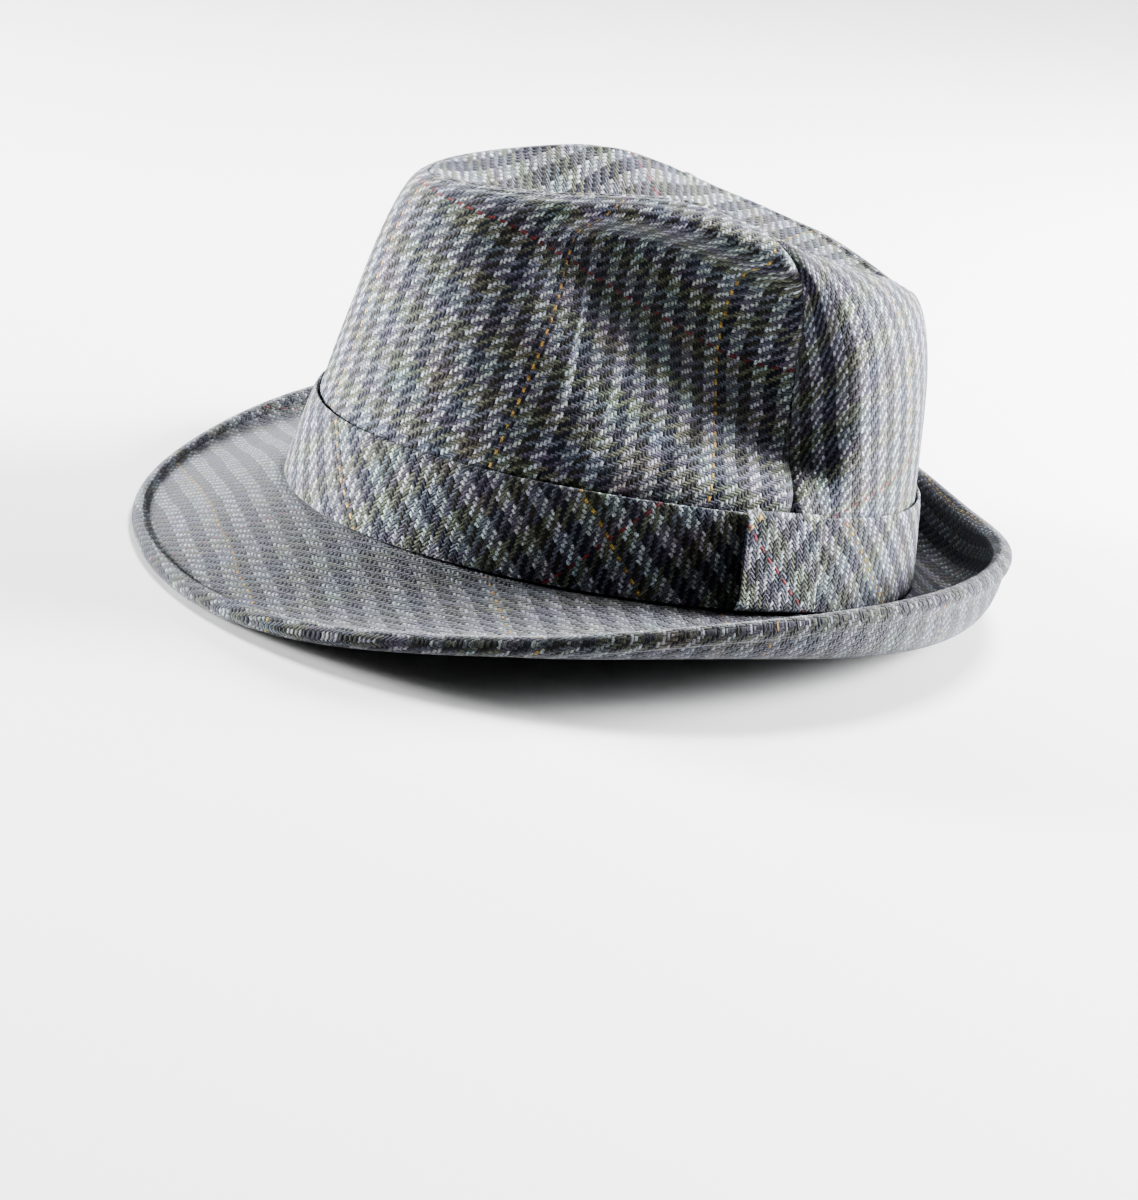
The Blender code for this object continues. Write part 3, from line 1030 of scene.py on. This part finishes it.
@dataclass
class WallPanel(HatPiece):
    """A panel of the crown's wall, from one side seam to the other.

    Attributes:
        middle: The angle of the panel's middle.
        half_span: The angle from there to the side seam, at each level.
        cloth_turn: How far the weft follows the wall's width as it narrows, from 0 to 1.
        cloth_arc: The radius that the cut of the panel bends the weft to.
        tip_ease: How far from the tip's seam the relief is whole, in metres.
        foot_ease: How far above the foot it is whole, in levels.
    """

    crown: Crown
    middle: float
    half_span: Callable[[np.ndarray], np.ndarray]
    columns: int
    cloth_turn: float
    cloth_arc: float
    rows: int = 120
    seam_gap: float = 0.00005
    unevenness: float = 0.00018
    tip_hollow: Ripple = Ripple(-0.0004, 0.0030, 0.0014)
    tip_ease: float = 0.0015
    side_puff: Ripple = Ripple(0.0004, 0.0040, 0.0025)
    side_valley: Ripple = Ripple(-0.0009, 0.0, 0.0016)
    foot_ease: float = 0.12

    def build(self) -> bpy.types.Object:
        """The panel, with the puckers along its seams.

        Returns:
            The finished piece.
        """
        levels = np.linspace(0.0, 1.0 - self.seam_gap / self.crown.height, self.rows + 1)
        span = (self.half_span(levels) - self.seam_gap / self.crown.half_width)[:, None]
        share = np.linspace(-1.0, 1.0, self.columns + 1)
        angles = self.middle + span * share
        height = np.broadcast_to(levels[:, None], angles.shape)
        plain = self.crown.face(angles, height)
        climb = run_length(plain, 0)
        to_tip = climb[-1] - climb
        along = run_length(plain, 1)
        to_side = np.minimum(along, along[:, -1:] - along)
        relief = waves(angles, plain[..., 2], self.unevenness, 1.0 + self.middle)
        relief = (relief + self.tip_hollow.at(to_tip)) * smooth(to_tip, 0.0, self.tip_ease)
        relief = relief + self.side_puff.at(to_side) + self.side_valley.at(to_side)
        relief = relief * smooth(height, 0.0, self.foot_ease)
        points = self.crown.shell(angles, height, relief)
        piece = sheet(self.node, self.rest.lay(points), self._flat(plain))
        thicken(piece, self.crown.cloth)
        return self.dress(piece)

    def _flat(self, plain: np.ndarray) -> np.ndarray:
        """Places in the flat cloth: the grain follows the panel's middle.

        Args:
            plain: The panel without its relief.

        Returns:
            The places along the weft and along the warp.
        """
        along = run_length(plain, 1)
        along = along - 0.5 * along[:, -1:]
        foot = along[:1]
        weft = (1.0 - self.cloth_turn) * foot + self.cloth_turn * along
        warp = run_length(plain, 0) + foot**2 / (2.0 * self.cloth_arc)
        return np.stack([weft, warp], axis=-1)


@dataclass
class TipPanel(HatPiece):
    """The oval top panel, folded down the middle by the centre dent.

    Attributes:
        half_width_share: The panel's half width against the foot's.
        seam_crowding: Above 1 for rows that stand closer at the seam.
        side_stretch: The length of the cloth down the dent's sides against its width from above.
    """

    crown: Crown
    columns: int = 240
    rows: int = 90
    seam_gap: float = 0.00005
    half_width_share: float = 0.4
    seam_crowding: float = 1.25
    unevenness: float = 0.00015
    waves_turn: float = 0.4
    seam_roll: Ripple = Ripple(0.0007, 0.0018, 0.0012)
    seam_ease: float = 0.0012
    centre_ease: float = 0.2
    grain_deg: float = 32.0
    side_stretch: float = 1.12

    def build(self) -> bpy.types.Object:
        """The panel, with the roll along its seam.

        Returns:
            The finished piece.
        """
        share = np.linspace(0.0, 1.0, self.rows + 1) ** self.seam_crowding
        start = 1.0 + self.seam_gap / (self.half_width_share * self.crown.half_width)
        levels = (start + (2.0 - start) * share)[::-1]
        angles, height = np.meshgrid(np.linspace(0.0, FULL_TURN, self.columns + 1), levels)
        plain = self.crown.face(angles, height)
        to_seam = run_length(plain[::-1], 0)[::-1]
        relief = waves(angles, plain[..., 1], self.unevenness, self.waves_turn)
        relief = (relief + self.seam_roll.at(to_seam)) * smooth(to_seam, 0.0, self.seam_ease)
        relief = relief * smooth(2.0 - height, 0.0, self.centre_ease)
        points = self.crown.shell(angles, height, relief)
        cloth = turned(plain[..., 0] * self.side_stretch, plain[..., 1], self.grain_deg)
        piece = sheet(self.node, self.rest.lay(points), cloth)
        weld(piece)
        thicken(piece, self.crown.cloth)
        return self.dress(piece)


@dataclass
class Band(HatPiece):
    """The band round the foot of the crown, a folded bias strip.

    Attributes:
        lowest: Where the band starts, as a share of its height.
        roundness: Below 1 for flat faces with round edges.
    """

    crown: Crown
    thickness: float = 0.0018
    seat_gap: float = 0.0003
    columns: int = 360
    rows: int = 22
    lowest: float = 0.004
    roundness: float = 0.45
    unevenness: float = 0.00012
    waves_turn: float = 2.0
    bias_deg: float = 43.0

    def build(self) -> bpy.types.Object:
        """The band as a closed ring with folded edges.

        Returns:
            The finished piece.
        """
        angles = np.linspace(0.0, FULL_TURN, self.columns + 1)
        foot = self.crown.foot(angles)
        turn = np.linspace(0.0, FULL_TURN, 2 * self.rows + 1)[:, None]
        climb = np.clip(0.5 - 0.5 * np.cos(turn), self.lowest, 1.0)
        level = climb * self.crown.level_of(angles, self.crown.band_height)
        full = folded(turn, self.roundness)
        soft = waves(angles, foot[:, 2], self.unevenness, self.waves_turn)
        off = self.seat_gap + 0.5 * self.thickness + 0.5 * (self.thickness + soft) * full
        points = self.crown.shell(np.broadcast_to(angles, level.shape), level, off)
        cloth = turned(run_length(foot[None], 1)[0], climb * self.crown.band_height, self.bias_deg)
        piece = sheet(self.node, self.rest.lay(points[::-1]), cloth[::-1])
        weld(piece)
        return self.dress(piece)


@dataclass
class Tab(HatPiece):
    """The folded tab of the band, with a thick rounded fold towards the front.

    Attributes:
        lowest: Where the tab starts, as a share of its height.
        fold_lift: How far the fold stands off the band, by shares of the tab's length.
        end_tuck: How much flatter the tab is at its top and bottom, by shares of its height.
        roundness: Below 1 for flat faces with round edges.
    """

    crown: Crown
    start_deg: float = 95.0
    length: float = 0.0290
    fold: float = 0.0056
    thickness: float = 0.0020
    overlap: float = 0.0010
    under: float = 0.0024
    lowest: float = 0.02
    fold_lift: Ripple = Ripple(0.0034, 0.0, 0.09)
    end_tuck: Ripple = Ripple(-0.35, 0.0, 0.03)
    roundness: float = 0.5
    bias_deg: float = -43.0
    rows: int = 40
    columns: int = 60

    def build(self) -> bpy.types.Object:
        """The tab as a closed, rounded flap.

        Returns:
            The finished piece.
        """
        start = math.radians(self.start_deg)
        span = self.length / self.crown.half_length
        turn = np.linspace(0.0, FULL_TURN, 2 * self.columns + 1)
        share = 0.5 - 0.5 * np.cos(turn)
        angles = start + span * share
        height = np.linspace(self.lowest, 1.0, self.rows + 1)[:, None]
        level = height * self.crown.level_of(angles, self.crown.band_height + self.overlap)
        proud = self.thickness + (self.fold - self.thickness) * (1.0 - share) ** 2
        lift = self.fold_lift.at(share)
        full = folded(turn, self.roundness)
        ends = 1.0 + self.end_tuck.at(1.0 - height) + self.end_tuck.at(height - self.lowest)
        off = self.under + (lift + 0.5 * (proud - lift) * (1.0 + full)) * ends
        points = self.crown.shell(np.broadcast_to(angles, level.shape), level, off)
        cloth = turned(share * self.length, height * self.crown.band_height, self.bias_deg)
        piece = sheet(self.node, self.rest.lay(points), cloth)
        weld(piece)
        bpy.ops.object.mode_set(mode="EDIT")
        bpy.ops.mesh.select_all(action="SELECT")
        bpy.ops.mesh.fill_holes(sides=0)
        bpy.ops.mesh.normals_make_consistent(inside=False)
        bpy.ops.object.mode_set(mode="OBJECT")
        return self.dress(piece)


@dataclass
class BrimPiece(HatPiece):
    """The brim with its rolled edge and flange."""

    brim: Brim
    columns: int = 360

    def build(self) -> bpy.types.Object:
        """The brim as a closed ring.

        Returns:
            The finished piece.
        """
        angles = np.linspace(0.0, FULL_TURN, self.columns + 1)
        loops = np.array([self.brim.outline(angle) for angle in angles])
        closed = np.concatenate([loops, loops[:, :1]], axis=1)
        points = np.swapaxes(closed, 0, 1)
        foot = self.brim.crown.foot(angles)
        out = self.brim.crown.outward(angles)
        length = run_length(points, 0)
        far = np.minimum(length - length[1], length[self.brim.body_rows] - length)
        flat = foot[..., :2] + far[..., None] * out[..., :2]
        cloth = np.stack([flat[..., 1], flat[..., 0]], axis=-1)
        piece = sheet(self.node, self.rest.lay(points), cloth)
        weld(piece)
        return self.dress(piece)


@dataclass(frozen=True)
class Camera:
    """The view that the hat is shown from, given round the crown's foot."""

    azimuth_deg: float = 68.1
    elevation_deg: float = 18.93
    roll_deg: float = 12.47
    distance: float = 0.87
    pixels_per_metre: float = 3140.0
    foot_pixel: tuple[float, float] = (602.25, 517.94)
    frame_pixels: tuple[float, float] = (1138.0, 1200.0)
    sensor: float = 36.0

    def build(self, rest: Rest) -> bpy.types.Object:
        """The camera, laid down with the hat.

        Args:
            rest: How the hat lies on the floor.

        Returns:
            The scene's camera.
        """
        turn, climb, roll = (math.radians(a) for a in (self.azimuth_deg, self.elevation_deg, self.roll_deg))
        out = Vector((math.sin(turn) * math.cos(climb), -math.cos(turn) * math.cos(climb), math.sin(climb)))
        right = Vector((math.cos(turn), math.sin(turn), 0.0))
        up = out.cross(right)
        rolled_right = right * math.cos(roll) + up * math.sin(roll)
        rolled_up = up * math.cos(roll) - right * math.sin(roll)
        side = (self.foot_pixel[0] - 0.5 * self.frame_pixels[0]) / self.pixels_per_metre
        down = (self.foot_pixel[1] - 0.5 * self.frame_pixels[1]) / self.pixels_per_metre
        place = out * self.distance - rolled_right * side + rolled_up * down
        bpy.ops.object.camera_add()
        camera = bpy.context.object
        axes = Matrix((rolled_right, rolled_up, out)).transposed()
        laid = Matrix([list(row) for row in rest.turn])
        camera.matrix_world = Matrix.Translation(laid @ place + Vector(rest.shift)) @ (laid @ axes).to_4x4()
        camera.data.sensor_fit = "HORIZONTAL"
        camera.data.sensor_width = self.sensor
        camera.data.lens = self.sensor * self.pixels_per_metre * self.distance / self.frame_pixels[0]
        bpy.context.scene.camera = camera
        return camera


@dataclass(frozen=True)
class Lamp:
    """One soft lamp of the studio."""

    name: str
    place: tuple[float, float, float]
    power: float
    size: float
    aim: tuple[float, float, float] = (0.0, 0.0, 0.0)
    spread_deg: float = 180.0

    def build(self) -> None:
        """A square lamp that looks at its aim."""
        bpy.ops.object.light_add(type="AREA", location=self.place)
        lamp = bpy.context.object
        lamp.name = self.name
        lamp.data.energy = self.power
        lamp.data.size = self.size
        lamp.data.spread = math.radians(self.spread_deg)
        lamp.rotation_euler = (Vector(self.aim) - Vector(self.place)).to_track_quat("-Z", "Y").to_euler()


@dataclass(frozen=True)
class Studio:
    """A pale floor, soft lamps behind and above, narrow lamps over the far floor, and a weak surround."""

    floor_size: float = 12.0
    floor_colour: tuple[float, float, float, float] = (0.88, 0.88, 0.88, 1.0)
    floor_roughness: float = 0.9
    surround: float = 0.035
    view: str = "AgX"
    look: str = "AgX - High Contrast"
    far: float = 3.0
    far_height: float = 2.7
    far_power: float = 150.0
    far_size: float = 3.2
    far_spread_deg: float = 84.0
    lamps: tuple[Lamp, ...] = (
        Lamp("above", (-0.42, 0.45, 1.5), 30.0, 0.5),
        Lamp("left_back", (-0.80, -1.28, 0.23), 80.0, 0.5),
        Lamp("right_back", (0.12, 1.50, 0.50), 88.0, 0.6),
    )

    def build(self) -> None:
        """The floor, the surround, the view's tones and the lamps."""
        self._floor()
        self._surround()
        bpy.context.scene.view_settings.view_transform = self.view
        bpy.context.scene.view_settings.look = self.look
        for lamp in self.lamps:
            lamp.build()
        for x in (-self.far, self.far):
            for y in (-self.far, self.far):
                place, aim = (x, y, self.far_height), (x, y, 0.0)
                Lamp("far_floor", place, self.far_power, self.far_size, aim, self.far_spread_deg).build()

    def _floor(self) -> None:
        """A wide matt floor."""
        bpy.ops.object.select_all(action="DESELECT")
        bpy.ops.mesh.primitive_plane_add(size=self.floor_size)
        floor = bpy.context.object
        floor.name = "floor"
        paint = bpy.data.materials.new("floor")
        paint.use_nodes = True
        shader = paint.node_tree.nodes["Principled BSDF"]
        shader.inputs["Base Color"].default_value = self.floor_colour
        shader.inputs["Roughness"].default_value = self.floor_roughness
        floor.data.materials.append(paint)

    def _surround(self) -> None:
        """Weak white light from all round."""
        world = bpy.data.worlds.new("surround")
        world.use_nodes = True
        background = world.node_tree.nodes["Background"]
        background.inputs["Color"].default_value = WHITE
        background.inputs["Strength"].default_value = self.surround
        bpy.context.scene.world = world


def main() -> None:
    """Builds the hat, the studio and the camera."""
    logging.basicConfig(level=logging.INFO)
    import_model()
    crown = Crown()
    brim = Brim(crown)
    rest = Rest.of(brim)
    pieces: list[HatPiece] = [
        WallPanel(
            "crown_front",
            Slot.TWEED,
            Tweed("tweed_front", rust_at=108.0),
            rest,
            crown,
            middle=0.0,
            half_span=crown.side_seam,
            columns=260,
            cloth_turn=0.5,
            cloth_arc=0.6,
        ),
        WallPanel(
            "crown_back",
            Slot.TWEED,
            Tweed("tweed_back", rust_at=56.0),
            rest,
            crown,
            middle=math.pi,
            half_span=crown.back_span,
            columns=190,
            cloth_turn=0.9,
            cloth_arc=0.26,
        ),
        TipPanel("crown_tip", Slot.TWEED, Tweed("tweed_tip", twill=-1.0), rest, crown),
        Band("hat_band", Slot.BIAS, Tweed("tweed_bias", gold_at=30.0, rust_at=55.0), rest, crown),
        Tab("band_tab", Slot.BIAS, Tweed("tweed_tab", twill=-1.0, gold_at=50.0), rest, crown),
        # The brim's cloth is darkened to paint the shade that falls on it, so it is a shaded copy of the
        # same tweed.
        BrimPiece("brim", Slot.TWEED, Tweed("tweed_brim", shade=0.44), rest, brim),
    ]
    for piece in pieces:
        piece.build()
    Studio().build()
    Camera().build(rest)


if __name__ == "__main__":
    main()
